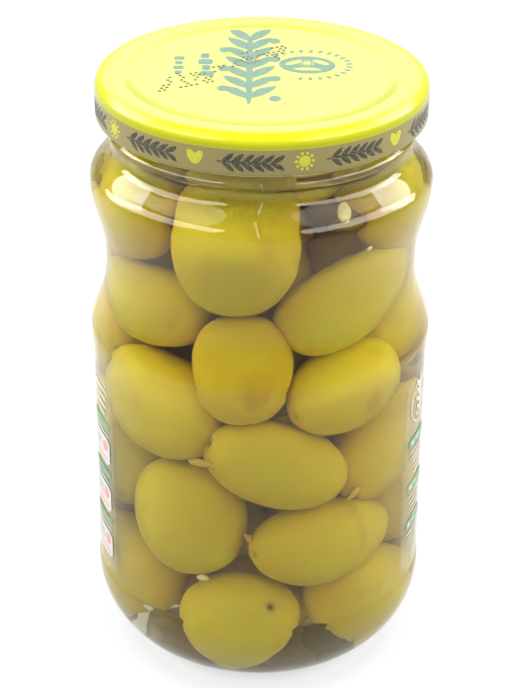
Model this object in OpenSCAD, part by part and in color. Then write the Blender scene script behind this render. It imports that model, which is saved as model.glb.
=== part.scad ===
// Glass jar of large green olives in brine, closed by a twist-off metal cap.
// Millimetres, +Z up. The origin is the centre of the ring that the jar stands on,
// and the gap between the two ends of the label faces -Y.

/* [Glass] */
// Height of the glass, from its standing ring to its sealing rim
glass_h = 133.7; // [122:0.1:162]
// Radius of the straight part, where the label sits
panel_r = 36.07; // [34:0.01:44]
// Thickness of the glass wall
wall = 2.3; // [1.6:0.1:3]
// Thickness of the glass at the edge of the floor
floor_t = 3.6; // [2.5:0.1:6]
// How far the middle of the base is pushed up
push_up = 2.6; // [0:0.1:5]
// Width of the rounded heel, from the bead in to the standing ring
heel_w = 17.4; // [10:0.1:20]
// Height of the rounded heel
heel_h = 18; // [10:0.1:22]
// Width of the flat ring that the jar stands on
stand_w = 1.8; // [1:0.1:3]

/* [Waist and shoulder] */
// How far the low bead below the label stands out from the straight part
bead_out = 0.29; // [0:0.01:1]
// Height of the low bead's flat
bead_h = 0.8; // [0.2:0.1:4]
// How far the bulge above the label stands out from the straight part
bulge_out = 0.36; // [0:0.01:1.5]
// Height of the widest point of the bulge
bulge_z = 77.9; // [74:0.1:80]
// How far the bulge reaches down before it meets the straight part
bulge_drop = 8; // [3:0.1:12]
// Radius of the waist
waist_r = 32.87; // [31:0.01:37]
// Height of the waist
waist_z = 92.9; // [86:0.1:98]
// Radius of the shoulder
shoulder_r = 35.83; // [33:0.01:43]
// Height of the shoulder
shoulder_z = 111.65; // [105:0.05:114]
// Height at which the shoulder has run into the neck
neck_z = 119.5; // [117:0.1:121]

/* [Finish] */
// Outer radius of the neck, under the cap and below it
neck_r = 31; // [29:0.1:31.3]
// How far the ring below the cap stands out from the neck
ring_out = 1.1; // [0:0.1:1.8]
// Height of that ring from its lower edge to its upper edge
ring_h = 3; // [1.5:0.1:3.6]
// Room between the ring and the cap's lower edge
ring_gap = 1.6; // [0.6:0.1:2.4]
// Rounding of the sealing rim, inside and outside
rim_fillet = 0.9; // [0.3:0.1:1.1]
// How far each thread ridge stands out from the neck
thread_out = 1.5; // [0.5:0.1:1.6]
// Height of a thread ridge
thread_h = 1.6; // [1:0.1:2.4]
// Length of each thread ridge, in degrees
thread_arc = 50; // [30:1:60]
// Number of thread ridges, and of the cap's lugs that hook under them
starts = 4; // [3:1:6]

/* [Cap] */
// Outer radius of the cap
cap_r = 34.25; // [34:0.01:36]
// Height of the cap
cap_h = 8.6; // [8:0.1:11]
// Thickness of the sheet metal
cap_t = 0.3; // [0.2:0.05:0.5]
// Rounding between the cap's top and its skirt, outside
cap_roll = 2.3; // [1:0.1:3]
// Radius of the flat middle of the top
top_flat_r = 25.8; // [20:0.1:26.5]
// How far the flat middle lies below the crown around it
top_recess = 0.6; // [0:0.05:1]
// Radius of the curl at the lower edge
curl_r = 0.7; // [0.4:0.05:0.9]
// Width of each lug, in degrees
lug_arc = 15; // [8:1:25]
// Thickness of each lug
lug_t = 0.8; // [0.4:0.1:1.2]

/* [Contents] */
// Depth of the free space between the brine and the sealing rim
head_h = 7.7; // [7:0.1:20]
// Room left between the contents and the glass
fill_gap = 0.05; // [0.02:0.01:0.2]

/* [Label] */
// Height of the label's lower edge
label_z = 22; // [21.5:0.1:40]
// Height of the label
label_h = 48.4; // [20:0.1:48.4]
// Thickness of the label's film
label_t = 0.12; // [0.08:0.01:0.2]
// Part of the way round that the label covers, in degrees
label_arc = 240; // [180:1:330]
// Rounding of the label's corners
label_fillet = 3; // [1:0.1:8]
// Layer of glue between the glass and the label
glue_t = 0.02; // [0.01:0.01:0.1]

/* [Hidden] */
$fn = 96;
steps = 14;
clear = 0.2;                               // room between the cap and the parts of the glass near it
cap_top = glass_h + cap_t;                 // the crown's underside bears on the rim
cap_z = cap_top - cap_h;                   // lower edge of the cap
bead_r = panel_r + bead_out;
bulge_r = panel_r + bulge_out;
stand_r = bead_r - heel_w;                 // outer edge of the standing ring
ring_z = cap_z - ring_gap - ring_h;        // lower edge of the ring on the neck
brine_z = glass_h - head_h;
bore_r = neck_r - wall;
crown_r = bore_r + rim_fillet - clear;     // from here out the cap's top is level, where it bears on the rim
lug_z = cap_z + curl_r;                    // the lugs are folded in just above the curl
thread_z = lug_z + lug_t + clear;          // the ridges lie just above the lugs

// How far each curve between two heights leans to its lower end (under 1) or its upper end
fall_lean = 0.72;
rise_lean = 1.29;
neck_lean = 1.15;

// S-shaped step from 0 to 1, flat at both ends
function ease(t) = (1 - cos(180 * t)) / 2;
// Points [radius, height] of an S-shaped curve up a wall, its first point left out
function curve(from, to, lean = 1, n = steps) =
  [for (i = [1:n]) let (t = i / n)
    [from[0] + (to[0] - from[0]) * ease(pow(t, lean)), from[1] + (to[1] - from[1]) * t]];
// The same for an S-shaped step that runs outwards across a floor or a top
function across(from, to, n = steps) =
  [for (i = [1:n]) let (t = i / n)
    [from[0] + (to[0] - from[0]) * t, from[1] + (to[1] - from[1]) * ease(t)]];
// Points of an elliptical arc about a centre, with half-axes a and b
function arc(centre, a, b, from, to, n = steps) =
  [for (i = [0:n]) let (t = from + (to - from) * i / n) centre + [a * cos(t), b * sin(t)]];

// Outline of the body from the straight part to the neck, set in from the outside by d
function body_outline(d) = concat(
  [[panel_r - d, bulge_z - bulge_drop]],
  curve([panel_r - d, bulge_z - bulge_drop], [bulge_r - d, bulge_z]),
  curve([bulge_r - d, bulge_z], [waist_r - d, waist_z], fall_lean, 2 * steps),
  curve([waist_r - d, waist_z], [shoulder_r - d, shoulder_z], rise_lean, 2 * steps),
  curve([shoulder_r - d, shoulder_z], [neck_r - d, neck_z], neck_lean, 2 * steps));

// Outline of the space inside the glass from the middle of the floor up to the neck, set in by d
function inside_outline(d) = concat(
  [[0, floor_t + push_up + d]],
  across([0, floor_t + push_up + d], [stand_r, floor_t + d]),
  arc([stand_r, heel_h], heel_w - wall - d, heel_h - floor_t - d, -90, 0, 2 * steps),
  [[panel_r - wall - d, heel_h + bead_h]],
  body_outline(wall + d));

// Outside of the glass, from the middle of the base up to the rim
function outside_outline() = concat(
  [[0, push_up]],
  across([0, push_up], [stand_r - stand_w, 0]),
  arc([stand_r, heel_h], heel_w, heel_h, -90, 0, 2 * steps),
  [[bead_r, heel_h + bead_h]],
  curve([bead_r, heel_h + bead_h], [panel_r, heel_h + 2 * bead_h + 1], 1, 6),
  body_outline(0),
  [[neck_r, ring_z]],
  [for (i = [1:steps]) [neck_r + ring_out * sin(180 * i / steps), ring_z + ring_h * i / steps]],
  arc([neck_r - rim_fillet, glass_h - rim_fillet], rim_fillet, rim_fillet, 0, 90, 8));

// One ridge of the thread, or one lug: part of a ring with a bevelled edge
module ring_piece(inner, outer, z, h, turn, bevel_in, bevel_out) {
  rotate([0, 0, -turn / 2])
    rotate_extrude(angle = turn)
      polygon([[inner, z + bevel_in], [inner, z + h - bevel_in],
               [outer, z + h - bevel_out], [outer, z + bevel_out]]);
}

module jar() {
  color([0.85, 0.92, 0.88, 0.4]) {
    rotate_extrude()
      difference() {
        polygon(concat(outside_outline(), [[0, glass_h]]));
        polygon(concat(inside_outline(0), [[bore_r, glass_h - rim_fillet]],
          [for (i = [0:8]) let (t = 180 - 90 * i / 8)
            [bore_r + rim_fillet + rim_fillet * cos(t), glass_h - rim_fillet + rim_fillet * sin(t)]],
          [[bore_r + rim_fillet, glass_h + 1], [0, glass_h + 1]]));
      }
    for (i = [0:starts - 1])
      rotate([0, 0, i * 360 / starts])
        ring_piece(neck_r - wall / 2, neck_r + thread_out, thread_z, thread_h, thread_arc,
                   0, thread_h / 4);
  }
}

// Half section of the cap's top and skirt, set in from the outside by d
function cap_outline(d) = concat(
  [[0, cap_top - top_recess - d], [top_flat_r, cap_top - top_recess - d]],
  across([top_flat_r, cap_top - top_recess - d], [crown_r, cap_top - d]),
  arc([cap_r - cap_roll, cap_top - cap_roll], cap_roll - d, cap_roll - d, 90, 0));

module cap() {
  color([0.97, 0.96, 0.55]) {
    rotate_extrude()
      union() {
        difference() {
          polygon(concat(cap_outline(0), [[cap_r, cap_z + curl_r], [0, cap_z + curl_r]]));
          polygon(concat(cap_outline(cap_t),
            [[cap_r - cap_t, cap_z + curl_r - 1], [0, cap_z + curl_r - 1]]));
        }
        translate([cap_r - curl_r, cap_z + curl_r])
          circle(curl_r);
      }
    for (i = [0:starts - 1])
      rotate([0, 0, i * 360 / starts])
        ring_piece(neck_r + 2 * clear, cap_r - cap_t / 2, lug_z, lug_t, lug_arc, lug_t / 4, 0);
  }
}

module brine() {
  color([0.72, 0.66, 0.25])
    rotate_extrude()
      polygon(concat(inside_outline(fill_gap),
        [[bore_r - fill_gap, brine_z], [0, brine_z]]));
}

module label() {
  inner = panel_r + glue_t;
  half = label_arc / 2;
  f = label_fillet;
  color([0.9, 0.95, 0.9, 0.6])
    difference() {
      rotate([0, 0, 90 - half])
        rotate_extrude(angle = label_arc)
          translate([inner, label_z])
            square([label_t, label_h]);
      // Each end loses what lies outside its two rounded corners
      for (side = [-1, 1])
        rotate([0, 0, 90 + side * half])
          translate([inner - 1, 0, label_z])
            rotate([90, 0, 90])
              linear_extrude(label_t + 2)
                difference() {
                  translate([-f, -1])
                    square([2 * f, label_h + 2]);
                  translate([side > 0 ? -3 * f : 0, f])
                    square([3 * f, label_h - 2 * f]);
                  translate([side > 0 ? -3 * f : f, 0])
                    square([2 * f, label_h]);
                  for (z = [f, label_h - f])
                    translate([-side * f, z])
                      circle(f);
                }
    }
}

jar();
cap();
brine();
label();
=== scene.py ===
import math
import bpy
import numpy as np
from mathutils import Matrix, Vector


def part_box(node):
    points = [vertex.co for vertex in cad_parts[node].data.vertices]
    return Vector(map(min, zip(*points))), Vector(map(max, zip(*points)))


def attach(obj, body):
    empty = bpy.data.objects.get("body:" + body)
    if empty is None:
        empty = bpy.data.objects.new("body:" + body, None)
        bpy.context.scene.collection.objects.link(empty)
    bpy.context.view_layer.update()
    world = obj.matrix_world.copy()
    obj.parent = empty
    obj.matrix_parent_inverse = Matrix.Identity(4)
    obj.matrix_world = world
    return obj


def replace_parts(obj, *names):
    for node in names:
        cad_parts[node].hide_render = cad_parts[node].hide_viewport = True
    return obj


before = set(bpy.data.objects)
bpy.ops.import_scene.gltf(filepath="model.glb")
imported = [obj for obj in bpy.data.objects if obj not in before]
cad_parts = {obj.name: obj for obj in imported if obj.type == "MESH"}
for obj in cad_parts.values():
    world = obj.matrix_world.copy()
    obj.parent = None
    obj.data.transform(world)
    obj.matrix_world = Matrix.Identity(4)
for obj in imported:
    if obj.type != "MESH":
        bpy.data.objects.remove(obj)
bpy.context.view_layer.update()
mm = 0.001
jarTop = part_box("jar")[1].z / mm
capBottom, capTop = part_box("cap")[0].z / mm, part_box("cap")[1].z / mm
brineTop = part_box("brine")[1].z / mm
labelBottom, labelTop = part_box("label")[0].z / mm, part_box("label")[1].z / mm
print("frame: jar", round(jarTop, 2), "cap", round(capBottom, 2), "to", round(capTop, 2))


# Shader helper: a socket whose operators add Math nodes.
class Sock:
    def __init__(self, mat, socket):
        self.mat, self.socket = mat, socket

    def math(self, kind, other=None, clamp=False):
        node = self.mat.nodes.new("ShaderNodeMath")
        node.operation, node.use_clamp = kind, clamp
        for slot, value in enumerate([self, other]):
            if value is not None:
                self.mat.feed(node.inputs[slot], value)
        return Sock(self.mat, node.outputs[0])

    def __add__(self, other):
        return self.math("ADD", other)

    def __radd__(self, other):
        return self.math("ADD", other)

    def __mul__(self, other):
        return self.math("MULTIPLY", other)

    def __rmul__(self, other):
        return self.math("MULTIPLY", other)

    def __truediv__(self, other):
        return self.math("DIVIDE", other)

    def __sub__(self, other):
        return self.math("SUBTRACT", other)

    def __neg__(self):
        return self.math("MULTIPLY", -1.0)

    def __pow__(self, other):
        return self.math("POWER", other)

    def __rsub__(self, other):
        return (-self).math("ADD", other)

    def within(self, low, high, soft):  # 1 from low to high, 0 outside
        return self.step(low, soft) * (1 - self.step(high, soft))

    def clip(self):  # limited to 0 to 1
        return self.math("ADD", 0.0, clamp=True)

    def step(self, edge, soft):  # 0 below edge - soft, 1 above edge + soft
        return ((self - (edge - soft)) / (2 * soft)).clip()


class Look:
    def __init__(self, name):
        self.material = bpy.data.materials.new(name)
        self.material.use_nodes = True
        self.tree = self.material.node_tree
        self.nodes, self.links = self.tree.nodes, self.tree.links
        self.nodes.clear()
        self.out = self.nodes.new("ShaderNodeOutputMaterial")

    def feed(self, socket, value):
        if isinstance(value, Sock):
            self.links.new(value.socket, socket)
        else:
            socket.default_value = value

    def node(self, kind, settings=None, out=0, **inputs):
        node = self.nodes.new(kind)
        for key, value in (settings or {}).items():
            setattr(node, key, value)
        for key, value in inputs.items():
            self.feed(node.inputs[key.replace("_", " ")], value)
        return Sock(self, node.outputs[out])

    def mix(self, factor, a, b):
        node = self.nodes.new("ShaderNodeMix")
        node.data_type = "RGBA"
        for index, value in ((0, factor), (6, a), (7, b)):
            self.feed(node.inputs[index], value if isinstance(value, (Sock, float, int)) else (*value, 1))
        return Sock(self, node.outputs[2])

    def place(self):  # object coordinates, in mm
        coords = self.nodes.new("ShaderNodeTexCoord")
        metres = Sock(self, coords.outputs["Object"])
        scaled = self.node("ShaderNodeVectorMath", {"operation": "SCALE"}, Vector=metres, Scale=1000.0)
        parts = self.nodes.new("ShaderNodeSeparateXYZ")
        self.links.new(scaled.socket, parts.inputs[0])
        return scaled, *[Sock(self, s) for s in parts.outputs]

    def noise(self, vector, scale, detail=2.0, rough=0.5):
        return self.node("ShaderNodeTexNoise", Vector=vector, Scale=scale, Detail=detail, Roughness=rough)

    def attribute(self, name, out="Fac"):
        node = self.nodes.new("ShaderNodeAttribute")
        node.attribute_name = name
        return Sock(self, node.outputs[out])

    def bump(self, height, strength, distance):
        return self.node("ShaderNodeBump", Height=height, Strength=strength, Distance=distance)

    def surface(self, **inputs):
        shader = self.nodes.new("ShaderNodeBsdfPrincipled")
        for key, value in inputs.items():
            socket = shader.inputs[key.replace("_", " ")]
            colour = isinstance(value, tuple) and socket.type == "RGBA"
            self.feed(socket, (*value, 1) if colour else value)
        self.links.new(shader.outputs[0], self.out.inputs["Surface"])
        return shader


def srgb(r, g, b):  # display colour, 0 to 255, as a linear one
    return tuple(((c / 255 + 0.055) / 1.055) ** 2.4 if c > 10 else c / 255 / 12.92 for c in (r, g, b))


def addPiece(name, verts, faces, slot, look, values=None, smooth=True):
    mesh = bpy.data.meshes.new(name)
    mesh.from_pydata((np.asarray(verts, float) * mm).tolist(), [], faces)
    mesh.polygons.foreach_set("use_smooth", np.full(len(mesh.polygons), smooth))
    for key, data in (values or {}).items():
        kind = "FLOAT" if np.ndim(data) == 1 else "FLOAT_COLOR"
        mesh.attributes.new(key, kind, "POINT").data.foreach_set(
            "value" if kind == "FLOAT" else "color", np.asarray(data, np.float32).ravel())
    mesh.materials.append(look.material)
    mesh.update()
    piece = bpy.data.objects.new(name, mesh)
    bpy.context.collection.objects.link(piece)
    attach(piece, "root")
    return piece


def gridFaces(rows, cols, start=0, flip=False):
    # quads of a grid closed along its columns, with a pole vertex before its first row and after its last
    i, j = np.meshgrid(np.arange(rows - 1), np.arange(cols), indexing="ij")
    a, b = start + 1 + i * cols + j, start + 1 + i * cols + (j + 1) % cols
    quads = np.stack([a, b, b + cols, a + cols], -1).reshape(-1, 4)
    j = np.arange(cols)
    last = start + 1 + (rows - 1) * cols
    low = np.stack([np.full(cols, start), start + 1 + (j + 1) % cols, start + 1 + j], -1)
    high = np.stack([np.full(cols, last + cols), last + j, last + (j + 1) % cols], -1)
    faces = quads.tolist() + low.tolist() + high.tolist()
    return [f[::-1] for f in faces] if flip else faces


def lathe(profile, cols):
    # each profile point (radius, height) goes round the axis: (r sin a, -r cos a, z); both ends lie on the axis
    ring = np.linspace(0, 2 * math.pi, cols, endpoint=False)
    r, z = profile[1:-1, :1], profile[1:-1, 1:]
    body = np.stack([r * np.sin(ring), -r * np.cos(ring), z + 0 * ring], -1).reshape(-1, 3)
    ends = [[0, 0, profile[0, 1]]], [[0, 0, profile[-1, 1]]]
    return np.concatenate([ends[0], body, ends[1]]), gridFaces(len(profile) - 2, cols)


def ease(t):  # S-shaped step from 0 to 1: half of one minus the cosine of a half turn
    return (1 - np.cos(np.pi * t)) / 2


def wallCurve(a, b, lean=1.0, n=24):  # radius eased from a to b as the height goes evenly
    t = np.linspace(0, 1, n + 1)[1:]
    return np.stack([a[0] + (b[0] - a[0]) * ease(t ** lean), a[1] + (b[1] - a[1]) * t], 1)


def acrossCurve(a, b, n=24):  # height eased from a to b as the radius goes evenly
    t = np.linspace(0, 1, n + 1)[1:]
    return np.stack([a[0] + (b[0] - a[0]) * t, a[1] + (b[1] - a[1]) * ease(t)], 1)


def arcCurve(centre, a, b, start, stop, n=24):  # elliptical arc, angles in degrees
    t = np.radians(np.linspace(start, stop, n + 1))
    return np.stack([centre[0] + a * np.cos(t), centre[1] + b * np.sin(t)], 1)


glass = dict(panelR=36.07, wall=2.3, floorT=3.6, pushUp=2.6, heelW=17.4, heelH=18.0, standW=1.8, beadOut=0.29,
             beadH=0.8, bulgeOut=0.36, bulgeZ=77.9, bulgeDrop=8.0, waistR=32.87, waistZ=92.9, shoulderR=35.83,
             shoulderZ=111.65, neckZ=119.5, neckR=31.0, ringOut=1.1, ringH=3.0, ringGap=1.6, rimFillet=0.9,
             threadOut=1.5, threadH=1.6, threadArc=50, starts=4, cols=160)
g = glass
beadR, bulgeR = g["panelR"] + g["beadOut"], g["panelR"] + g["bulgeOut"]
standR, ringZ = beadR - g["heelW"], capBottom - g["ringGap"] - g["ringH"]


def bodyCurve(d):  # outline from the straight part up to the neck, set in by d
    low, bulge = (g["panelR"] - d, g["bulgeZ"] - g["bulgeDrop"]), (bulgeR - d, g["bulgeZ"])
    waist, shoulder = (g["waistR"] - d, g["waistZ"]), (g["shoulderR"] - d, g["shoulderZ"])
    return np.concatenate([[low], wallCurve(low, bulge), wallCurve(bulge, waist, 0.72, 40),
                           wallCurve(waist, shoulder, 1.29, 44),
                           wallCurve(shoulder, (g["neckR"] - d, g["neckZ"]), 1.15, 40)])


def insideCurve(d):  # outline of the inside from the floor's middle to the neck, set in by d
    floor = g["floorT"] + d
    return np.concatenate([[[0, floor + g["pushUp"]]], acrossCurve((0, floor + g["pushUp"]), (standR, floor)),
                           arcCurve((standR, g["heelH"]), g["heelW"] - g["wall"] - d, g["heelH"] - floor,
                                    -90, 0, 44)[1:],
                           [[g["panelR"] - g["wall"] - d, g["heelH"] + g["beadH"]]], bodyCurve(g["wall"] + d)])


def outsideCurve():
    ring = np.linspace(0, 1, 21)[:, None]
    beadTop = (beadR, g["heelH"] + g["beadH"])
    return np.concatenate([[[0, g["pushUp"]]], acrossCurve((0, g["pushUp"]), (standR - g["standW"], 0)),
                           arcCurve((standR, g["heelH"]), g["heelW"], g["heelH"], -90, 0, 60), [beadTop],
                           wallCurve(beadTop, (g["panelR"], g["heelH"] + 2 * g["beadH"] + 1), 1, 10), bodyCurve(0),
                           np.hstack([g["neckR"] + g["ringOut"] * np.sin(np.pi * ring), ringZ + g["ringH"] * ring])])


def glassCurve():  # up the outside, over the rim and down the inside
    f, neck, bore = g["rimFillet"], g["neckR"], g["neckR"] - g["wall"]
    finish = np.stack([np.full(30, neck), np.linspace(capBottom + 0.1, jarTop - f - 0.1, 30)], 1)
    return np.concatenate([outsideCurve(), finish, arcCurve((neck - f, jarTop - f), f, f, 0, 90, 10),
                           arcCurve((bore + f, jarTop - f), f, f, 90, 180, 10), insideCurve(0)[::-1]])


def wallAt(z):  # inner radius of the glass at a height
    curve = insideCurve(0)
    return np.interp(z, curve[:, 1], curve[:, 0])


def glassLook(name, edge):
    look = Look(name)
    vector = look.place()[0]
    ripple = look.noise(vector, 0.05, 2.0) + look.noise(vector, 0.16, 1.0) * 0.25
    look.surface(Base_Color=(0.985, 0.995, 0.985), Roughness=0.0, IOR=1.5, Transmission_Weight=1.0,
                 Specular_Tint=edge, Normal=look.bump(ripple, 0.12, 0.004))
    return look


def makeJar():
    profile = glassCurve()
    verts, faces = lathe(profile, g["cols"])
    # thread ridges: the finish swells by threadOut where both the angle and the height are inside a ridge
    angle = np.degrees(np.arctan2(verts[:, 0], -verts[:, 1]))
    radius = np.hypot(verts[:, 0], verts[:, 1])
    part = (angle - 90 + 180 / g["starts"]) % (360 / g["starts"]) - 180 / g["starts"]
    ridgeZ = capBottom + 1.7
    swell = ease(np.clip((g["threadArc"] / 2 - abs(part)) / 4, 0, 1)) * ease(np.clip(
        (g["threadH"] / 2 + 0.2 - abs(verts[:, 2] - ridgeZ - g["threadH"] / 2)) / 0.5, 0, 1))
    ridge = swell * g["threadOut"] * (verts[:, 2] > capBottom)
    grow = np.where(radius > g["neckR"] - 0.01, ridge, 0) / np.maximum(radius, 1)
    verts[:, :2] *= 1 + grow[:, None]
    piece = addPiece("glassJar", verts, faces, "jar_glass", glassLook("clearGlass", (0.75, 0.75, 0.75)))
    # below the brine's level the inner wall is wet, and a wet wall has hardly any gloss of its own
    piece.data.materials.append(glassLook("wetGlass", (0.05, 0.05, 0.05)).material)
    centres = np.array([np.mean(verts[f], 0) for f in faces])
    inside = np.hypot(centres[:, 0], centres[:, 1]) < wallAt(centres[:, 2]) + 0.4
    wet = inside & (centres[:, 2] < brineTop) & (centres[:, 2] > g["pushUp"] + 0.5)
    piece.data.polygons.foreach_set("material_index", wet.astype(np.int32))
    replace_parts(piece, "jar")
    print("jar made,", len(verts), "points")


makeJar()

brine = dict(intoWall=0.25, meniscus=0.7, cols=160)


def brineLook():
    look = Look("goldenBrine")
    look.surface(Base_Color=(1.0, 0.985, 0.9), Roughness=0.0, IOR=1.335, Transmission_Weight=1.0,
                 Specular_Tint=(0.05, 0.05, 0.05))
    deep = look.nodes.new("ShaderNodeVolumeAbsorption")
    deep.inputs["Color"].default_value = (0.92, 0.76, 0.10, 1)
    deep.inputs["Density"].default_value = 18.0
    look.links.new(deep.outputs[0], look.out.inputs["Volume"])
    return look


def makeBrine():
    side = insideCurve(-brine["intoWall"])
    bore = g["neckR"] - g["wall"] + brine["intoWall"]
    # the top is level, and climbs the glass by the meniscus with an exponential fall away from it
    radius = np.linspace(bore, 0, 40)
    climb = brine["meniscus"] * np.exp((radius - bore) / 1.2)
    top = np.stack([radius, brineTop - brine["meniscus"] + climb], 1)
    profile = np.concatenate([side, [[bore, brineTop - 2]], top])
    piece = addPiece("brineFill", *lathe(profile, brine["cols"]), "olive_brine", brineLook())
    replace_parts(piece, "brine")
    print("brine made")


makeBrine()

# floorRows counts the points of insideCurve up to the heel's top, and bendRow is the middle of the heel's arc.
# Placed against the wall: degrees round from the front, height, half length, half width, slant of the
# stem end in the wall's plane (0 right, 90 up), lean of the stem end out of it, tone (0 green to 1 golden), and how
# much the stem scar shows
olives = dict(placed=[
    (-12, 108, 17, 11.6, 86, 0, 0.45, 0), (-66, 87.5, 13.5, 11, 10, 0, 0.35, 0), (47, 91.5, 15.5, 10, 207, 0, 0.4, 0),
    (-8, 79, 12, 9.7, 87, 0, 0.75, 0), (40, 72, 12.2, 9, 11, 0, 0.4, 0), (-51, 65.5, 13.5, 10.3, -12, 0, 0.4, 0),
    (8, 56.7, 14.6, 9.7, 156, 0, 0.45, 0.8), (-35.5, 41, 13.8, 11.2, 93, 0, 0.3, 0),
    (30, 36, 14.8, 10, 180, 0, 0.45, 0.5),
    (-10, 16.7, 12.5, 11.2, 40, 33, 0.3, 1), (84, 80.5, 12, 9.6, 60, 30, 0.5, 1),
    (68, 54.5, 14, 10.4, -142, 0, 0.7, 0.8),
    (-78, 20, 14, 11, 60, 0, 0.5, 0), (58, 18, 14, 11, -40, 0, 0.55, 0), (-70, 110.5, 12.5, 9.6, 60, 0, 0.35, 0),
    (78, 111, 12, 9.6, 120, 0, 0.3, 0)],
    free=25, halfLength=(12.2, 14.6), halfWidth=(9.6, 11.0), seed=11, rings=30, cols=48, clear=0.15,
    endBall=0.82, steps=900, softness=0.45, turning=1.2, floorRows=69, bendRow=46)


def settleOlives():
    # Each olive is three spheres in a row along its axis. Overlaps push the olives apart and turn them, and the
    # glass pushes them in, until the heap is at rest. The placed ones stay where they are.
    o = olives
    rng = np.random.default_rng(o["seed"])
    row = np.array(o["placed"], float)
    turn, slant, lean = np.radians(row[:, 0]), np.radians(row[:, 4]), np.radians(row[:, 5])
    out = np.stack([np.sin(turn), -np.cos(turn), 0 * turn], 1)
    along = np.stack([np.cos(turn), np.sin(turn), 0 * turn], 1)
    up = np.array([0, 0, 1.0])
    axis = (np.cos(lean) * np.cos(slant))[:, None] * along \
        + (np.cos(lean) * np.sin(slant))[:, None] * up + np.sin(lean)[:, None] * out
    a, b = row[:, 2], row[:, 3]
    reach = np.sqrt((a * (axis * out).sum(1)) ** 2 + b ** 2 * (1 - (axis * out).sum(1) ** 2))
    levels = row[:, 1:2] + np.linspace(-0.6, 0.6, 7) * b[:, None]
    room = (wallAt(levels) - reach[:, None] * np.sqrt(1 - ((levels - row[:, 1:2]) / a[:, None]) ** 2)).min(1)
    centre = out * room[:, None] + up * row[:, 1:2]

    n, k = o["free"], len(row)
    a = np.concatenate([a, rng.uniform(*o["halfLength"], n)])
    b = np.concatenate([b, rng.uniform(*o["halfWidth"], n)])
    tone = np.concatenate([row[:, 6], rng.uniform(0.25, 0.75, n)])
    # the free ones start behind the placed ones, on a spiral that climbs the jar
    t = (np.arange(n) + 0.5) / n
    spin = np.radians(110 + 140 * ((np.arange(n) * 0.618) % 1))
    far = 20 * np.sqrt(rng.uniform(0.05, 1, n))
    start = np.stack([far * np.sin(spin), -far * np.cos(spin), 14 + 104 * t], 1)
    centre = np.concatenate([centre, start])
    wild = rng.normal(size=(n, 3))
    axis = np.concatenate([axis, wild / np.linalg.norm(wild, axis=1, keepdims=True)])
    owner = np.tile(np.arange(n + k), 3)
    side = np.repeat([-1.0, 0.0, 1.0], n + k)
    size = np.concatenate([o["endBall"] * b, b, o["endBall"] * b])
    loose = (owner >= k).astype(float)
    inner = insideCurve(0)
    for _ in range(o["steps"]):
        arm = side * (a - o["endBall"] * b)[owner]
        ball = centre[owner] + arm[:, None] * axis[owner]
        gap = ball[:, None] - ball[None]
        dist = np.linalg.norm(gap, axis=2) + 1e-9
        over = np.maximum(size[:, None] + size[None] - dist, 0) * (owner[:, None] != owner[None])
        share = np.where(loose[None] > 0, 0.5, 1.0)
        push = (gap / dist[:, :, None] * (over * share)[:, :, None]).sum(1)
        radius = np.hypot(ball[:, 0], ball[:, 1]) + 1e-9
        level = np.clip(ball[:, 2], 5, brineTop)
        slope = (wallAt(level + 0.5) - wallAt(level - 0.5))
        steep = np.sqrt(1 + slope ** 2)
        over = np.maximum(radius + size * steep - wallAt(level), 0) / steep
        push -= over[:, None] * np.stack([ball[:, 0] / radius, ball[:, 1] / radius, -slope], 1)
        floor = np.interp(radius, inner[:o["floorRows"], 0], inner[:o["floorRows"], 1])
        push[:, 2] += np.maximum(floor + size - ball[:, 2], 0)
        push[:, 2] -= np.maximum(ball[:, 2] + size - brineTop + 1.5, 0)
        push *= loose[:, None] * o["softness"]
        lever = np.cross(arm[:, None] * axis[owner], push)
        move, twist = np.zeros_like(centre), np.zeros_like(centre)
        np.add.at(move, owner, push)
        np.add.at(twist, owner, lever)
        centre += np.clip(move, -2, 2)
        axis += np.cross(twist / (a ** 2)[:, None] * o["turning"], axis)
        axis /= np.linalg.norm(axis, axis=1, keepdims=True)
    worst = np.sort((size[:, None] + size[None] - dist)[(owner[:, None] != owner[None])])[-12:]
    print("olives settled, deepest overlaps in mm", np.round(worst[::-2], 2))
    return centre, axis, a, b, tone, np.concatenate([row[:, 7], rng.uniform(0, 1, n)])


def oliveLook():
    look = Look("oliveFlesh")
    vector = look.place()[0]
    tone, scar = look.attribute("tone"), look.attribute("scar")
    cloud = look.noise(vector, 0.09, 3.0, 0.6)
    mottle = look.noise(vector, 0.45, 4.0, 0.65)
    speck = look.noise(vector, 2.2, 2.0, 0.5)
    green, gold = srgb(226, 212, 36), srgb(230, 190, 24)
    flesh = look.mix((tone * 0.8 + (cloud - 0.5) * 1.1 + (mottle - 0.5) * 0.4).clip(), green, gold)
    flesh = look.mix(((speck - 0.60) * 4.0).clip() * 0.25, flesh, srgb(242, 226, 80))
    flesh = look.mix(((mottle - 0.60) * 5.0).clip() * 0.22, flesh, srgb(150, 128, 40))
    blush = look.noise(vector, 0.11, 1.0)
    flesh = look.mix(((blush - 0.63) * 7).clip() * 0.35, flesh, srgb(196, 128, 40))
    flesh = look.mix(scar.clip(), flesh, srgb(96, 70, 28))
    look.surface(Base_Color=flesh, Roughness=(0.42 + (mottle - 0.5) * 0.25).clip(), Specular_IOR_Level=0.08,
                 Subsurface_Weight=0.25, Subsurface_Radius=(1.0, 0.75, 0.25), Subsurface_Scale=0.0015,
                 Normal=look.bump(mottle + speck * 0.3, 0.12, 0.0006))
    return look


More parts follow.
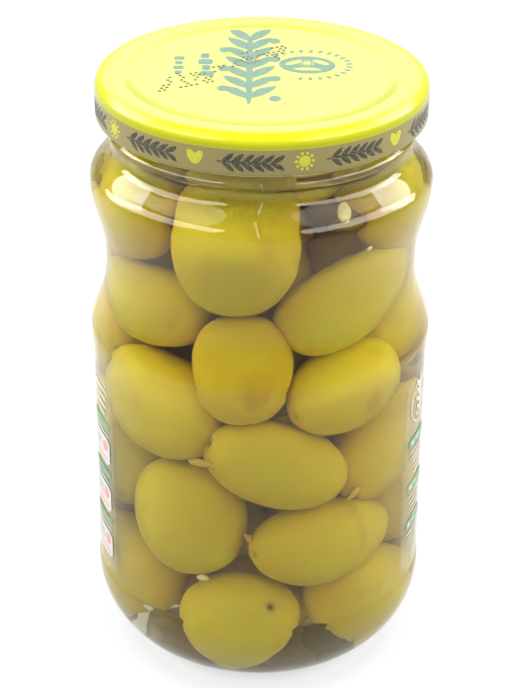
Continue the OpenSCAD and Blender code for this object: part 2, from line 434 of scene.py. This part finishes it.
def makeOlives():
    # A point of an olive: along the axis a cos t, and out from it b sin t, both swollen by slow waves that differ from
    # olive to olive; the stem end is dimpled and the far end has a small tip.
    o = olives
    centre, axis, a, b, tone, mark = settleOlives()
    rng = np.random.default_rng(o["seed"] + 1)
    count, rings, cols = len(a), o["rings"], o["cols"]
    # the rings crowd towards the two ends, where the scar and the tip are
    even = np.linspace(0.03, 1 - 0.03, rings)
    t = np.concatenate([[0], math.pi * (even - 0.11 * np.sin(2 * math.pi * even)), [math.pi]])
    p = np.linspace(0, 2 * math.pi, cols, endpoint=False)
    full = rng.uniform(0.9, 1.12, (count, 1))
    full[0] = 0.8
    offset = rng.uniform(-0.06, 0.06, (count, 1))
    x = a[:, None] * (np.cos(t) + offset * np.sin(t) ** 2)
    x = x - mark[:, None] * 0.9 * np.exp(-(t / 0.11) ** 2) + 0.35 * np.exp(-((math.pi - t) / 0.12) ** 2)
    r = b[:, None] * np.sin(t) ** (0.92 * full)
    phase, wave = rng.uniform(0, 2 * math.pi, (4, count, 1, 1)), rng.uniform(0.006, 0.02, (4, count, 1, 1))
    swell = 1 + wave[0] * np.cos(2 * p + phase[0]) + wave[1] * np.cos(3 * p + phase[1] + 1.3 * np.cos(t)[:, None]) \
        + wave[2] * np.sin(2 * np.cos(t)[:, None] + phase[2]) * np.cos(p + phase[3])
    fine = rng.uniform(0, 2 * math.pi, (3, count, 1, 1))
    swell = swell + 0.004 * np.sin(5 * p + fine[0] + 3 * np.cos(t)[:, None]) * np.sin(t)[:, None] \
        + 0.003 * np.sin(7 * np.cos(t)[:, None] + fine[1]) * np.cos(4 * p + fine[2])
    helper = np.where(abs(axis[:, 2:]) < 0.9, [[0, 0, 1.0]], [[1.0, 0, 0]])
    side = np.cross(axis, helper)
    side /= np.linalg.norm(side, axis=1, keepdims=True)
    other = np.cross(axis, side)
    ringPart = (r[:, :, None] * swell)[:, 1:-1, :, None]
    body = centre[:, None, None] + x[:, 1:-1, None, None] * axis[:, None, None] + ringPart * (
        np.cos(p)[:, None] * side[:, None, None] + np.sin(p)[:, None] * other[:, None, None])
    ends = centre[:, None] + x[:, [0, -1], None] * axis[:, None]
    verts = np.concatenate([ends[:, :1], body.reshape(count, -1, 3), ends[:, 1:]], 1)
    each = verts.shape[1]
    # where an olive presses on the glass it is flattened: on the floor and the lower heel its points are lifted to the
    # inner outline, and above the heel's bend they are drawn in to it, both by a small clearance
    solid, inner, bend = verts.reshape(-1, 3), insideCurve(0), o["bendRow"]
    radius = np.hypot(solid[:, 0], solid[:, 1])
    floor = np.interp(np.minimum(radius, inner[bend, 0]), inner[:bend + 1, 0], inner[:bend + 1, 1])
    solid[:, 2] = np.maximum(solid[:, 2], floor + o["clear"])
    room = np.interp(solid[:, 2], inner[bend:, 1], inner[bend:, 0]) - o["clear"]
    solid[:, :2] *= np.minimum(1, room / np.maximum(radius, 1))[:, None]
    # darker brown in the stem end's dimple, strongest on its rim
    ringT = np.concatenate([[0], np.repeat(t[1:-1], cols), [math.pi]])
    scar = mark[:, None] * np.exp(-(ringT / 0.085) ** 2) + 0.5 * np.exp(-((math.pi - ringT) / 0.04) ** 2)
    faces = [f for i in range(count) for f in gridFaces(rings, cols, i * each, flip=True)]
    values = {"tone": np.repeat(tone, each), "scar": scar.ravel()}
    piece = addPiece("olives", solid, faces, "olive_brine", oliveLook(), values)
    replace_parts(piece, "brine")
    print("olives made:", count, "with", len(faces), "faces")


makeOlives()

# degrees round, height and distance from the wall at the start and at the end, radius at each, and upward bow
stalks = dict(rows=[(-13.0, 58.0, 4.2, -26.0, 59.2, 1.8, 0.8, 0.75, 0.3),
                    (-3.0, 37.4, 9.0, -5.5, 40.6, 7.5, 0.7, 0.5, 0.3),
                    (45.0, 49.4, 5.5, 36.8, 47.2, 4.5, 0.95, 0.6, -0.2)], rings=14, cols=12)
# degrees round from the front, height, distance from the wall, and half lengths along, up and through
crumbs = dict(rows=[(-21, 30.5, 1.2, 1.2, 0.7, 0.7), (36, 111.5, 6.0, 1.3, 2.2, 1.0), (41, 106.5, 1.0, 0.6, 0.45, 0.45),
                    (-24, 118, 1.0, 0.5, 0.5, 0.5)], rings=10, cols=16, seed=5)


def fleshLook(name, light, dark, scale):
    look = Look(name)
    vector = look.place()[0]
    grain = look.noise(vector, scale, 3.0, 0.6)
    look.surface(Base_Color=look.mix(((grain - 0.45) * 3).clip(), light, dark), Roughness=(0.5 + grain * 0.2).clip(),
                 Specular_IOR_Level=0.1, Normal=look.bump(grain, 0.3, 0.0004))
    return look


def makeStalks():
    # a stalk runs from its start to its end with an upward bow; its radius goes evenly, knotted by a slow wave, and
    # closes to a rounded tip
    sets, faces = [], []
    way = np.linspace(0, 1, stalks["rings"])
    p = np.linspace(0, 2 * np.pi, stalks["cols"], endpoint=False)
    for i, (turn0, z0, deep0, turn1, z1, deep1, r0, r1, bow) in enumerate(stalks["rows"]):
        turn = np.radians(turn0 + (turn1 - turn0) * way)
        height = z0 + (z1 - z0) * way + bow * np.sin(np.pi * way)
        far = wallAt(height) - deep0 - (deep1 - deep0) * way
        path = np.stack([far * np.sin(turn), -far * np.cos(turn), height], 1)
        ahead = (path[-1] - path[0]) / np.linalg.norm(path[-1] - path[0])
        side = np.cross(ahead, [0, 0, 1.0])
        side /= np.linalg.norm(side)
        other = np.cross(ahead, side)
        tip = np.sqrt(1 - np.clip((way - 0.88) / 0.13, 0, 1) ** 2)
        radius = (r0 + (r1 - r0) * way + 0.12 * np.sin(11 * way + i)) * tip
        ring = np.cos(p)[:, None] * side + np.sin(p)[:, None] * other
        body = path[:, None] + (radius[:, None] * (1 + 0.14 * np.cos(3 * p + i)))[:, :, None] * ring
        start = sum(len(v) for v in sets)
        sets.append(np.concatenate([path[:1] - 0.1 * ahead, body.reshape(-1, 3), path[-1:] + 0.1 * ahead]))
        faces += gridFaces(stalks["rings"], stalks["cols"], start)
    look = fleshLook("stalkWood", srgb(226, 190, 78), srgb(176, 122, 40), 1.2)
    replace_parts(addPiece("oliveStalks", np.concatenate(sets), faces, "olive_brine", look), "brine")


def makeCrumbs():
    # bits of flesh: ellipsoids swollen by a few slow waves round and along them
    c = crumbs
    rng = np.random.default_rng(c["seed"])
    rows = np.array(c["rows"], float)
    t, p = np.linspace(0, np.pi, c["rings"] + 2), np.linspace(0, 2 * np.pi, c["cols"], endpoint=False)
    sets, faces = [], []
    for turn, height, depth, along, up, through in rows:
        k = rng.uniform(0, 2 * np.pi, 4)
        swell = 1 + 0.16 * np.cos(2 * p + k[0]) + 0.12 * np.cos(3 * p + k[1] + 2 * np.cos(t)[:, None]) \
            + 0.1 * np.sin(2 * t[:, None] + k[2])
        ball = np.stack([np.sin(t)[:, None] * np.cos(p) * along * swell,
                         np.sin(t)[:, None] * np.sin(p) * through * swell,
                         np.cos(t)[:, None] * up * swell], -1)
        f = math.radians(turn)
        out, side = np.array([math.sin(f), -math.cos(f), 0]), np.array([math.cos(f), math.sin(f), 0])
        spot = out * (wallAt(height) - depth - through) + [0, 0, height]
        solid = spot + ball[..., :1] * side - ball[..., 1:2] * out + ball[..., 2:] * [0, 0, 1]
        start = sum(len(v) for v in sets)
        sets.append(np.concatenate([solid[0, :1], solid[1:-1].reshape(-1, 3), solid[-1, :1]]))
        faces += gridFaces(c["rings"], c["cols"], start, flip=True)
    look = fleshLook("crumbFlesh", srgb(246, 236, 170), srgb(220, 196, 110), 0.8)
    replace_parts(addPiece("fleshCrumbs", np.concatenate(sets), faces, "olive_brine", look), "brine")
    print("stalks and crumbs made")


makeStalks()
makeCrumbs()

cap = dict(r=34.25, t=0.3, roll=2.3, flatR=25.8, recess=0.6, curl=0.7, lugArc=15, lugT=0.8, cols=192)
crownR = g["neckR"] - g["wall"] + g["rimFillet"] - 0.2


def capCurve(d):  # half section of the top and the skirt, set in by d
    c = cap
    return np.concatenate([[[0, capTop - c["recess"] - d]], [[c["flatR"], capTop - c["recess"] - d]],
                           acrossCurve((c["flatR"], capTop - c["recess"] - d), (crownR, capTop - d)),
                           arcCurve((c["r"] - c["roll"], capTop - c["roll"]), c["roll"] - d, c["roll"] - d, 90, 0, 20)])


def capLook():
    look = Look("capLacquer")
    vector, x, y, z = look.place()
    radius = (x * x + y * y) ** 0.5
    # lemon, on the flat top, is the lacquer's yellow lightened by a painted sheen of its whitish reflection; full is
    # the lacquer's own yellow
    lemon, full, beige = srgb(124, 126, 44), srgb(145, 147, 8), srgb(120, 111, 66)
    wave = look.noise(vector, 0.12, 2.0)
    cloud = look.noise(vector, 0.035, 3.0, 0.6)
    band = (1 - z.step(capTop - 2.95, 0.06)) * radius.step(cap["r"] - 1.6, 0.1)
    # fuller yellow on the outer roll, and on the recess step at the front only, as a painted shade crescent
    roll = radius.step(31.2, 1.2) + radius.within(26.0, 28.2, 0.8) * (1 - y.step(-14.0, 9.0)) * 0.8
    # the lacquer colour mixed here holds the painted sheen of the top and the painted shade crescent, with the print's
    # faint cloudy patches
    lacquerSheenShade = look.mix((roll + ((cloud - 0.52) * 5).clip() * 0.35).clip(), lemon, full)
    colour = look.mix(band, lacquerSheenShade, beige)
    inside = (1 - radius.step(cap["r"] - 0.15, 0.02)) * (1 - z.step(capTop - cap["roll"] - 0.1, 0.02))
    colour = look.mix(inside, colour, srgb(214, 196, 132))
    grain = look.noise(vector, 3.0, 3.0)
    look.surface(Base_Color=colour, Roughness=(0.22 + (wave - 0.5) * 0.08).clip(), Specular_IOR_Level=0.3,
                 Coat_Weight=0.08, Coat_Roughness=0.1, Normal=look.bump(wave + grain * 0.02, 0.08, 0.001))
    return look


def makeCap():
    c = cap
    centre = (c["r"] - c["curl"], capBottom + c["curl"])
    skirt = capCurve(0)
    under = capCurve(c["t"])[::-1]
    curl = arcCurve(centre, c["curl"], c["curl"], 0, -270, 30)
    profile = np.concatenate([[[0, skirt[0, 1]]], skirt[1:], curl,
                              [[c["r"] - c["t"], capBottom + 2 * c["curl"] + 0.2]], under])
    verts, faces = lathe(profile, c["cols"])
    # lugs: blocks folded in from the curl, as a ring grid of their own (angle by section)
    sets, parts = [verts], list(faces)
    lugZ = capBottom + c["curl"]
    near, far, gap = g["neckR"] + 0.4, c["r"] - 0.2, 0.2
    section = np.array([[near, lugZ + gap], [far, lugZ], [far, lugZ + c["lugT"]], [near, lugZ + c["lugT"] - gap]])
    for i in range(g["starts"]):
        turn = np.radians(90 + i * 360 / g["starts"] + np.linspace(-c["lugArc"] / 2, c["lugArc"] / 2, 9))
        block = np.stack([section[:, 0] * np.sin(turn)[:, None], -section[:, 0] * np.cos(turn)[:, None],
                          section[:, 1] + 0 * turn[:, None]], -1)
        start = sum(len(s) for s in sets)
        ends = block[[0, -1]].mean(1)
        sets.append(np.concatenate([ends[:1], block.reshape(-1, 3), ends[1:]]))
        parts += gridFaces(9, 4, start, flip=True)
    parts = [f[::-1] for f in parts[:len(faces)]] + parts[len(faces):]
    piece = addPiece("capShell", np.concatenate(sets), parts, "cap_metal", capLook())
    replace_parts(piece, "cap")
    print("cap made")


makeCap()

label = dict(t=0.12, glue=0.02, arc=240.0, fillet=3.0, cols=180, rows=24)


def makeLabel():
    # Sheet round the back: the angle runs along it and the height across it, with the height's range drawn in at the
    # two ends by a quarter circle; the inner face is the same sheet at a smaller radius.
    l = label
    inner, outer = g["panelR"] + l["glue"], g["panelR"] + l["glue"] + l["t"]
    length = math.radians(l["arc"]) * outer
    s = length / 2 * np.sin(np.linspace(-math.pi / 2, math.pi / 2, l["cols"]))
    cut = np.maximum(l["fillet"] - (length / 2 - abs(s)), 0)
    draw = l["fillet"] - np.sqrt(l["fillet"] ** 2 - cut ** 2)
    v = np.linspace(0, 1, l["rows"])[:, None]
    z = labelBottom + draw + (labelTop - labelBottom - 2 * draw) * v
    angle = s / outer
    sheets = [np.stack([r * np.sin(angle) + 0 * z, r * np.cos(angle) + 0 * z, z], -1).reshape(-1, 3)
              for r in (outer, inner)]
    rows, cols = l["rows"], l["cols"]
    i, j = np.meshgrid(np.arange(rows - 1), np.arange(cols - 1), indexing="ij")
    q = (i * cols + j).ravel()
    front = np.stack([q, q + cols, q + cols + 1, q + 1], -1)
    back = front[:, ::-1] + rows * cols
    rim = np.concatenate([np.arange(cols), np.arange(1, rows) * cols + cols - 1,
                          (rows - 1) * cols + np.arange(cols - 2, -1, -1),
                          np.arange(rows - 2, 0, -1) * cols])
    nextRim = np.roll(rim, -1)
    edge = np.stack([rim, nextRim, nextRim + rows * cols, rim + rows * cols], -1)
    faces = np.concatenate([front, back, edge]).tolist()
    look = Look("labelFilm")
    vector = look.place()[0]
    veil = (0.03 + look.noise(vector, 0.2, 2.0) * 0.04).clip()
    look.surface(Base_Color=srgb(216, 218, 212), Roughness=0.25, Alpha=veil)
    piece = addPiece("labelFilm", np.concatenate(sheets), faces, "label_film", look)
    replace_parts(piece, "label")
    print("label made")


makeLabel()

# Every printed shape is a thin closed plate of ink: (u, v, half length, half width, turn, squareness,
# point, bend, ink, layer). Squareness 2 is an ellipse and 8 nearly a bar; point above 0 draws the two ends to a
# leaf's tips.
inks = dict(teal=(50, 82, 64), dark=(40, 35, 16), sun=(156, 158, 8), lemon=(130, 131, 46), white=(174, 178, 174),
            green=(84, 136, 104), deep=(34, 74, 40), pink=(206, 120, 124), grey=(124, 128, 134), cream=(206, 198, 162),
            leaf=(76, 118, 44), gold=(176, 142, 54))


def inkPlates(name, rows, toSpace, slot, cols, rings, flip=True, thick=0.02):
    # outline: a squared circle scaled to the two half widths, its width drawn in towards the ends by a power of
    # the sine, bent by the square of the length, turned and moved; rings go in from the rim to a pole on both faces
    number = np.array([[float(v) for v in r[:8]] + [float(r[9])] for r in rows])
    colour = np.array([srgb(*inks[r[8]]) + (1.0,) for r in rows])
    u0, v0, a, b, turn, square, point, bend, layer = number.T[:, :, None]
    p = np.linspace(0, 2 * np.pi, cols, endpoint=False)
    rho = (abs(np.cos(p)) ** square + abs(np.sin(p)) ** square) ** (-1 / square)
    along, wide = rho * np.cos(p), rho * np.sin(p) * abs(np.sin(p)) ** point
    s = np.concatenate([np.linspace(0, 1, rings + 1)[1:], np.linspace(1, 0, rings + 1)[1:-1]])[:, None]
    lift = np.concatenate([np.ones(rings - 1), [0.0], -np.ones(rings - 1)])[:, None] * thick
    x = s * (a * along)[:, None]
    y = s * (b * wide)[:, None] + bend[:, :, None] * (x / a[:, :, None]) ** 2
    poles = np.zeros((len(rows), 1, 1))
    x = np.concatenate([poles, x.reshape(len(rows), -1)[:, :, None], poles], 1)[:, :, 0]
    y = np.concatenate([poles, y.reshape(len(rows), -1)[:, :, None], poles], 1)[:, :, 0]
    h = np.concatenate([[thick], (lift + 0 * p).ravel(), [-thick]]) + layer * thick * 0.8
    c, d = np.cos(np.radians(turn)), np.sin(np.radians(turn))
    verts = toSpace(u0 + c * x - d * y, v0 + d * x + c * y, h + 0 * x)
    each = verts.shape[1]
    faces = [f for i in range(len(rows)) for f in gridFaces(2 * rings - 1, cols, i * each, flip)]
    look = Look(name + "Ink")
    vector = look.place()[0]
    grain = look.noise(vector, 4.0, 2.0)
    tint = look.attribute("ink", "Color")
    worn = look.mix(((grain - 0.45) * 0.35).clip(), tint, (0.9, 0.88, 0.8))
    look.surface(Base_Color=worn, Roughness=(0.32 + grain * 0.1).clip(),
                 Specular_IOR_Level=0.4, Normal=look.bump(grain, 0.05, 0.0003))
    addPiece(name, verts.reshape(-1, 3), faces, slot, look, {"ink": np.repeat(colour, each, 0)}, smooth=False)
    print(name, "made:", len(rows), "shapes")


def sprig(u, v, length, leaf, turn, pairs, ink, layer=1, fruit=0):
    # a branch: a thin stem with leaves in pairs, each leaf pointing on and out, and round fruit between some of them
    c, d = math.cos(math.radians(turn)), math.sin(math.radians(turn))
    rows = [(u, v, length / 2, leaf * 0.07 + 0.1, turn, 4, 0, 0, ink, layer)]
    for i in range(pairs):
        at = length * ((i + 0.6) / pairs - 0.5)
        for side in (-1, 1):
            lean = 38 - 10 * i / pairs
            out = (leaf * 0.5 * math.cos(math.radians(lean)) + at, side * leaf * 0.5 * math.sin(math.radians(lean)))
            rows.append((u + c * out[0] - d * out[1], v + d * out[0] + c * out[1], leaf * 0.5, leaf * 0.17,
                         turn + side * lean, 2, 0.7, side * leaf * 0.05, ink, layer))
            if fruit and i % 2 == (side + 1) // 2:
                spot = (at - leaf * 0.05, side * leaf * 0.62)
                rows.append((u + c * spot[0] - d * spot[1], v + d * spot[0] + c * spot[1],
                             fruit, fruit * 0.8, turn, 2.2, 0, 0, ink, layer))
    return rows


def sunMark(u, v, r, ink, layer=1):
    rays = [math.radians(a) for a in range(0, 360, 36)]
    return [(u, v, r * 0.62, r * 0.62, 0, 2, 0, 0, ink, layer)] + [
        (u + r * 0.88 * math.cos(a), v + r * 0.88 * math.sin(a), r * 0.2, r * 0.17, math.degrees(a), 2, 0.4, 0,
         ink, layer) for a in rays]


def heartMark(u, v, r, ink, layer=1):  # two leaning ovals that cross at the foot
    return [(u + side * r * 0.3, v + r * 0.06, r * 0.86, r * 0.46, 90 - side * 32, 2.2, 0.1, 0, ink,
             layer + (side > 0) * 0.2) for side in (-1, 1)]


def onTop(u, v, h):
    return np.stack([u, v, capTop - cap["recess"] + h], -1)


def onSkirt(u, v, h):  # u goes round the skirt, v up it
    r = cap["r"] + h
    return np.stack([r * np.sin(u / cap["r"]), -r * np.cos(u / cap["r"]), v], -1)


def makeCapPrint():
    rng = np.random.default_rng(3)
    rows = sprig(-2.6, 2.6, 38, 8.4, 90, 7, "teal", 1, 1.5)
    rows += [(-11.9 + 0.2 * i, 10.0 - 3.4 * i, 1.45, 0.9 + 0.6 * (i % 2), 90, 5, 0, 0, "teal", 1) for i in range(4)]
    rows += [(-17.2, 8.6 - 2.7 * i, 0.95, 0.75 + 0.35 * ((i + 1) % 2), 90, 5, 0, 0, "teal", 1) for i in range(4)]
    # oval mark: pale leaves and a small sun on a filled oval, with an arc of dots round it
    rows += [(9.3, 5.2, 5.9, 4.9, -8, 2, 0, 0, "teal", 1)]
    rows += [(6.6, 6.4, 2.3, 0.9, 40, 2, 0.7, 0.2, "lemon", 2), (12.1, 6.6, 2.2, 0.9, 140, 2, 0.7, -0.2, "lemon", 2),
             (9.3, 2.9, 3.0, 0.9, -4, 2, 0.7, -0.3, "lemon", 2)] + sunMark(9.3, 6.2, 1.5, "lemon", 2)
    arc = np.radians(np.linspace(150, -100, 20))
    rows += [(9.3 + 8.8 * math.cos(t), 5.2 + 7.9 * math.sin(t), 0.75, 0.4, math.degrees(t), 3, 0, 0, "teal", 1)
             for t in arc]
    # a code in dots, in two slanting blocks
    for left, low, wide, tall in ((-20.5, -10.0, 11, 7), (-6.0, 4.0, 10, 6)):
        for i, j in np.argwhere(rng.uniform(size=(tall, wide)) < 0.55):
            rows.append((left + 1.05 * j + 0.35 * i, low + 1.5 * i + 0.55 * j, 0.36, 0.32, 30, 2, 0, 0, "dark", 5))
    inkPlates("capTopPrint", rows, onTop, "cap_metal", 16, 2)

    rows, middle, pitch = [], capBottom + 3.05, math.radians(36) * cap["r"]
    for i in range(10):
        u = (i - 0.11) * pitch
        rows += sprig(u - 0.6, middle, 11.5, 3.0, 0, 6, "dark", 1)
        rows += (heartMark if i % 2 else sunMark)(u + pitch / 2, middle + 0.1, 1.9, "sun", 1)
    inkPlates("capSkirtPrint", rows, onSkirt, "cap_metal", 16, 2)


makeCapPrint()


def makeLabelPrint():
    radius = g["panelR"] + label["glue"] + label["t"]
    half = math.radians(label["arc"] / 2) * radius

    def wrap(u, v, h):  # u goes from the middle of the back, positive towards the front by the right side
        r = radius + h
        return np.stack([r * np.sin(u / radius), r * np.cos(u / radius), v], -1)

    low, high = labelBottom, labelTop
    small = []
    # left end: three groups of a header bar, fine lines and a white box with marks
    u = -half + 7.4
    small += [(u - 0.5 * i, high - 3.6 - 1.9 * i, 4.6 - 0.9 * i, 0.28, 0, 8, 0, 0, "white", 1) for i in range(4)]
    for top in (high - 12.0, high - 24.0, high - 36.0):
        small += [(u, top, 5.6, 0.75, 0, 10, 0, 0, "green", 1)]
        small += [(u, top - 2.3, 5.4, 0.2, 0, 8, 0, 0, "white", 1), (u, top - 6.4, 5.6, 3.3, 0, 12, 0, 0, "white", 1)]
        small += [(u - 3.0, top - 5.4, 1.6, 1.3, 0, 2, 0, 0, "pink", 2),
                  (u + 1.8, top - 4.9, 2.6, 0.3, 0, 8, 0, 0, "grey", 2),
                  (u + 1.4, top - 6.1, 2.2, 0.3, 0, 8, 0, 0, "grey", 2),
                  (u - 1.0, top - 8.3, 3.4, 0.35, 0, 8, 0, 0, "pink", 2)]
    # right end: a white sprig in a ring, then three green tags with white lines
    u = half - 7.6
    small += sprig(u, high - 6.4, 8.4, 3.0, 80, 4, "white", 1, 0.6)
    small += [(u + 5.2 * math.cos(t), high - 6.6 + 4.9 * math.sin(t), 0.7, 0.3, math.degrees(t) + 90, 3, 0, 0,
               "white", 1) for t in np.radians(range(0, 360, 20))]
    for top in (high - 15.8, high - 27.2, high - 37.0):
        small += [(u, top, 5.4, 1.15, 0, 10, 0, 0, "green", 1), (u + 3.6, top, 0.8, 0.5, 0, 4, 0, 0, "white", 2),
                  (u + 0.6, top, 1.3, 0.3, 0, 8, 0, 0, "white", 2)]
        small += [(u - 0.3 * k, top - 2.4 - 1.5 * k, 5.0 - 0.5 * k, 0.2, 0, 8, 0, 0, "white", 1) for k in range(5)]
    # sides of the back: fine lines
    for side in (-1, 1):
        small += [(side * 46 + 0.4 * (i % 3), high - 7 - 2.6 * i, 9.0 - 1.4 * (i % 3), 0.38, 0, 8, 0, 0, "white", 1)
                  for i in range(14)]
    middle = (low + high) / 2
    small += sprig(0, middle + 4.5, 34, 9.5, 8, 6, "leaf", 3, 2.3)
    small += [(0, middle - 12.2, 13.5, 1.5, 0, 8, 0, 0, "gold", 3),
              (0, middle - 16.3, 9.0, 0.6, 0, 8, 0, 0, "gold", 3)]
    small += [(26.0 * math.cos(t), middle + 19.5 * math.sin(t), 0.55, 0.4, math.degrees(t) + 90, 2, 0, 0, "gold", 2)
              for t in np.radians(range(0, 360, 6))]
    inkPlates("labelMarks", small, wrap, "label_film", 20, 3, flip=False)
    large = [(0, middle, 29.5, 22.8, 0, 7, 0, 0, "deep", 1), (0, middle, 23.2, 16.8, 0, 2.6, 0, 0, "cream", 2)]
    inkPlates("labelPanel", large, wrap, "label_film", 96, 16, flip=False)


makeLabelPrint()

def makeFloor():
    floor = bpy.data.objects.new("floor", bpy.data.meshes.new("floor"))
    floor.data.from_pydata([(-3, -3, 0), (3, -3, 0), (3, 3, 0), (-3, 3, 0)], [], [(0, 1, 2, 3)])
    look = Look("paleFloor")
    x, y = look.place()[1:3]
    # a lit table: it glows evenly, and less under the jar, where the dimmer glow is a painted shadow
    outer = ((x * x + y * y) ** 0.5).step(19.0, 9.0)
    look.surface(Base_Color=(0.10, 0.10, 0.10), Roughness=0.9, Specular_IOR_Level=0.1,
                 # the dim grey glow colour is the painted shadow under the jar
                 Emission_Color=look.mix(outer, (0.18, 0.18, 0.17), (1.0, 1.0, 1.0)), Emission_Strength=0.79)
    floor.data.materials.append(look.material)
    bpy.context.collection.objects.link(floor)


def toward(turn, rise):  # unit vector at so many degrees round from the front and up
    turn, rise = math.radians(turn), math.radians(rise)
    return Vector((math.sin(turn) * math.cos(rise), -math.cos(turn) * math.cos(rise), math.sin(rise)))


def makeLight():
    world = bpy.data.worlds.new("studio")
    bpy.context.scene.world = world
    world.use_nodes = True
    world.node_tree.nodes["Background"].inputs["Color"].default_value = (1, 1, 1, 1)
    world.node_tree.nodes["Background"].inputs["Strength"].default_value = 0.5
    # name, the middles of the panel's two ends (degrees round from the front, degrees up), thickness in degrees,
    # distance, and how bright its face is
    for name, start, end, thick, far, bright in (("softLeft", (-116, 9), (-28, 36), 13, 0.6, 8.0),
                                                 ("softRight", (116, 9), (28, 36), 13, 0.6, 8.0),
                                                 ("highLeft", (-112, 42), (-38, 54), 20, 0.7, 2.4),
                                                 ("highRight", (112, 42), (38, 54), 20, 0.7, 2.4),
                                                 ("softBack", (150, 30), (210, 30), 26, 1.0, 2.2),
                                                 ("hazeLeft", (-96, 20), (-140, 44), 24, 0.6, 8.0),
                                                 ("hazeRight", (96, 20), (140, 44), 24, 0.6, 8.0),
                                                 ("slit", (1, 14), (-1, 62), 1.2, 0.6, 4.0),
                                                 ("keyLeft", (-90, 62), (-50, 70), 12, 0.7, 45.0),
                                                 ("keyRight", (90, 62), (50, 70), 12, 0.7, 45.0),
                                                 ("keyTop", (-40, 80), (40, 80), 12, 0.7, 45.0)):
        ends = [far * toward(*start), far * toward(*end)]
        middle, along = (ends[0] + ends[1]) / 2, ends[1] - ends[0]
        lamp = bpy.data.lights.new(name, "AREA")
        lamp.shape, lamp.size, lamp.size_y = "RECTANGLE", along.length, 2 * far * math.tan(math.radians(thick / 2))
        lamp.energy = bright * math.pi * lamp.size * lamp.size_y
        x, z = along.normalized(), middle.normalized()
        z = (z - x * x.dot(z)).normalized()
        turn = Matrix([x, z.cross(x), z]).transposed().to_4x4()
        spot = bpy.data.objects.new(name, lamp)
        spot.matrix_world = Matrix.Translation(middle + Vector((0, 0, 0.1))) @ turn
        spot.visible_camera = False
        spot.visible_glossy = not name.startswith("key")
        spot.visible_transmission = spot.visible_diffuse = not name.startswith("haze")
        bpy.context.collection.objects.link(spot)


view = dict(back=0.400, height=0.2884, pitch=28.57, roll=0.43, yaw=0.06, focal=109.07)


def makeCamera():
    lens = bpy.data.cameras.new("camera")
    lens.lens, lens.sensor_width, lens.clip_start = view["focal"], 36.0, 0.01
    camera = bpy.data.objects.new("camera", lens)
    turn = Matrix.Rotation(math.radians(view["yaw"]), 4, "Z") \
        @ Matrix.Rotation(math.radians(90 - view["pitch"]), 4, "X") \
        @ Matrix.Rotation(math.radians(view["roll"]), 4, "Z")
    camera.matrix_world = Matrix.Translation((0, -view["back"], view["height"])) @ turn
    bpy.context.collection.objects.link(camera)
    scene = bpy.context.scene
    scene.camera = camera
    scene.view_settings.view_transform = "Standard"
    scene.cycles.max_bounces = 16
    scene.cycles.transmission_bounces = 14
    scene.cycles.use_denoising = True


makeFloor()
makeLight()
makeCamera()
print("stage made")
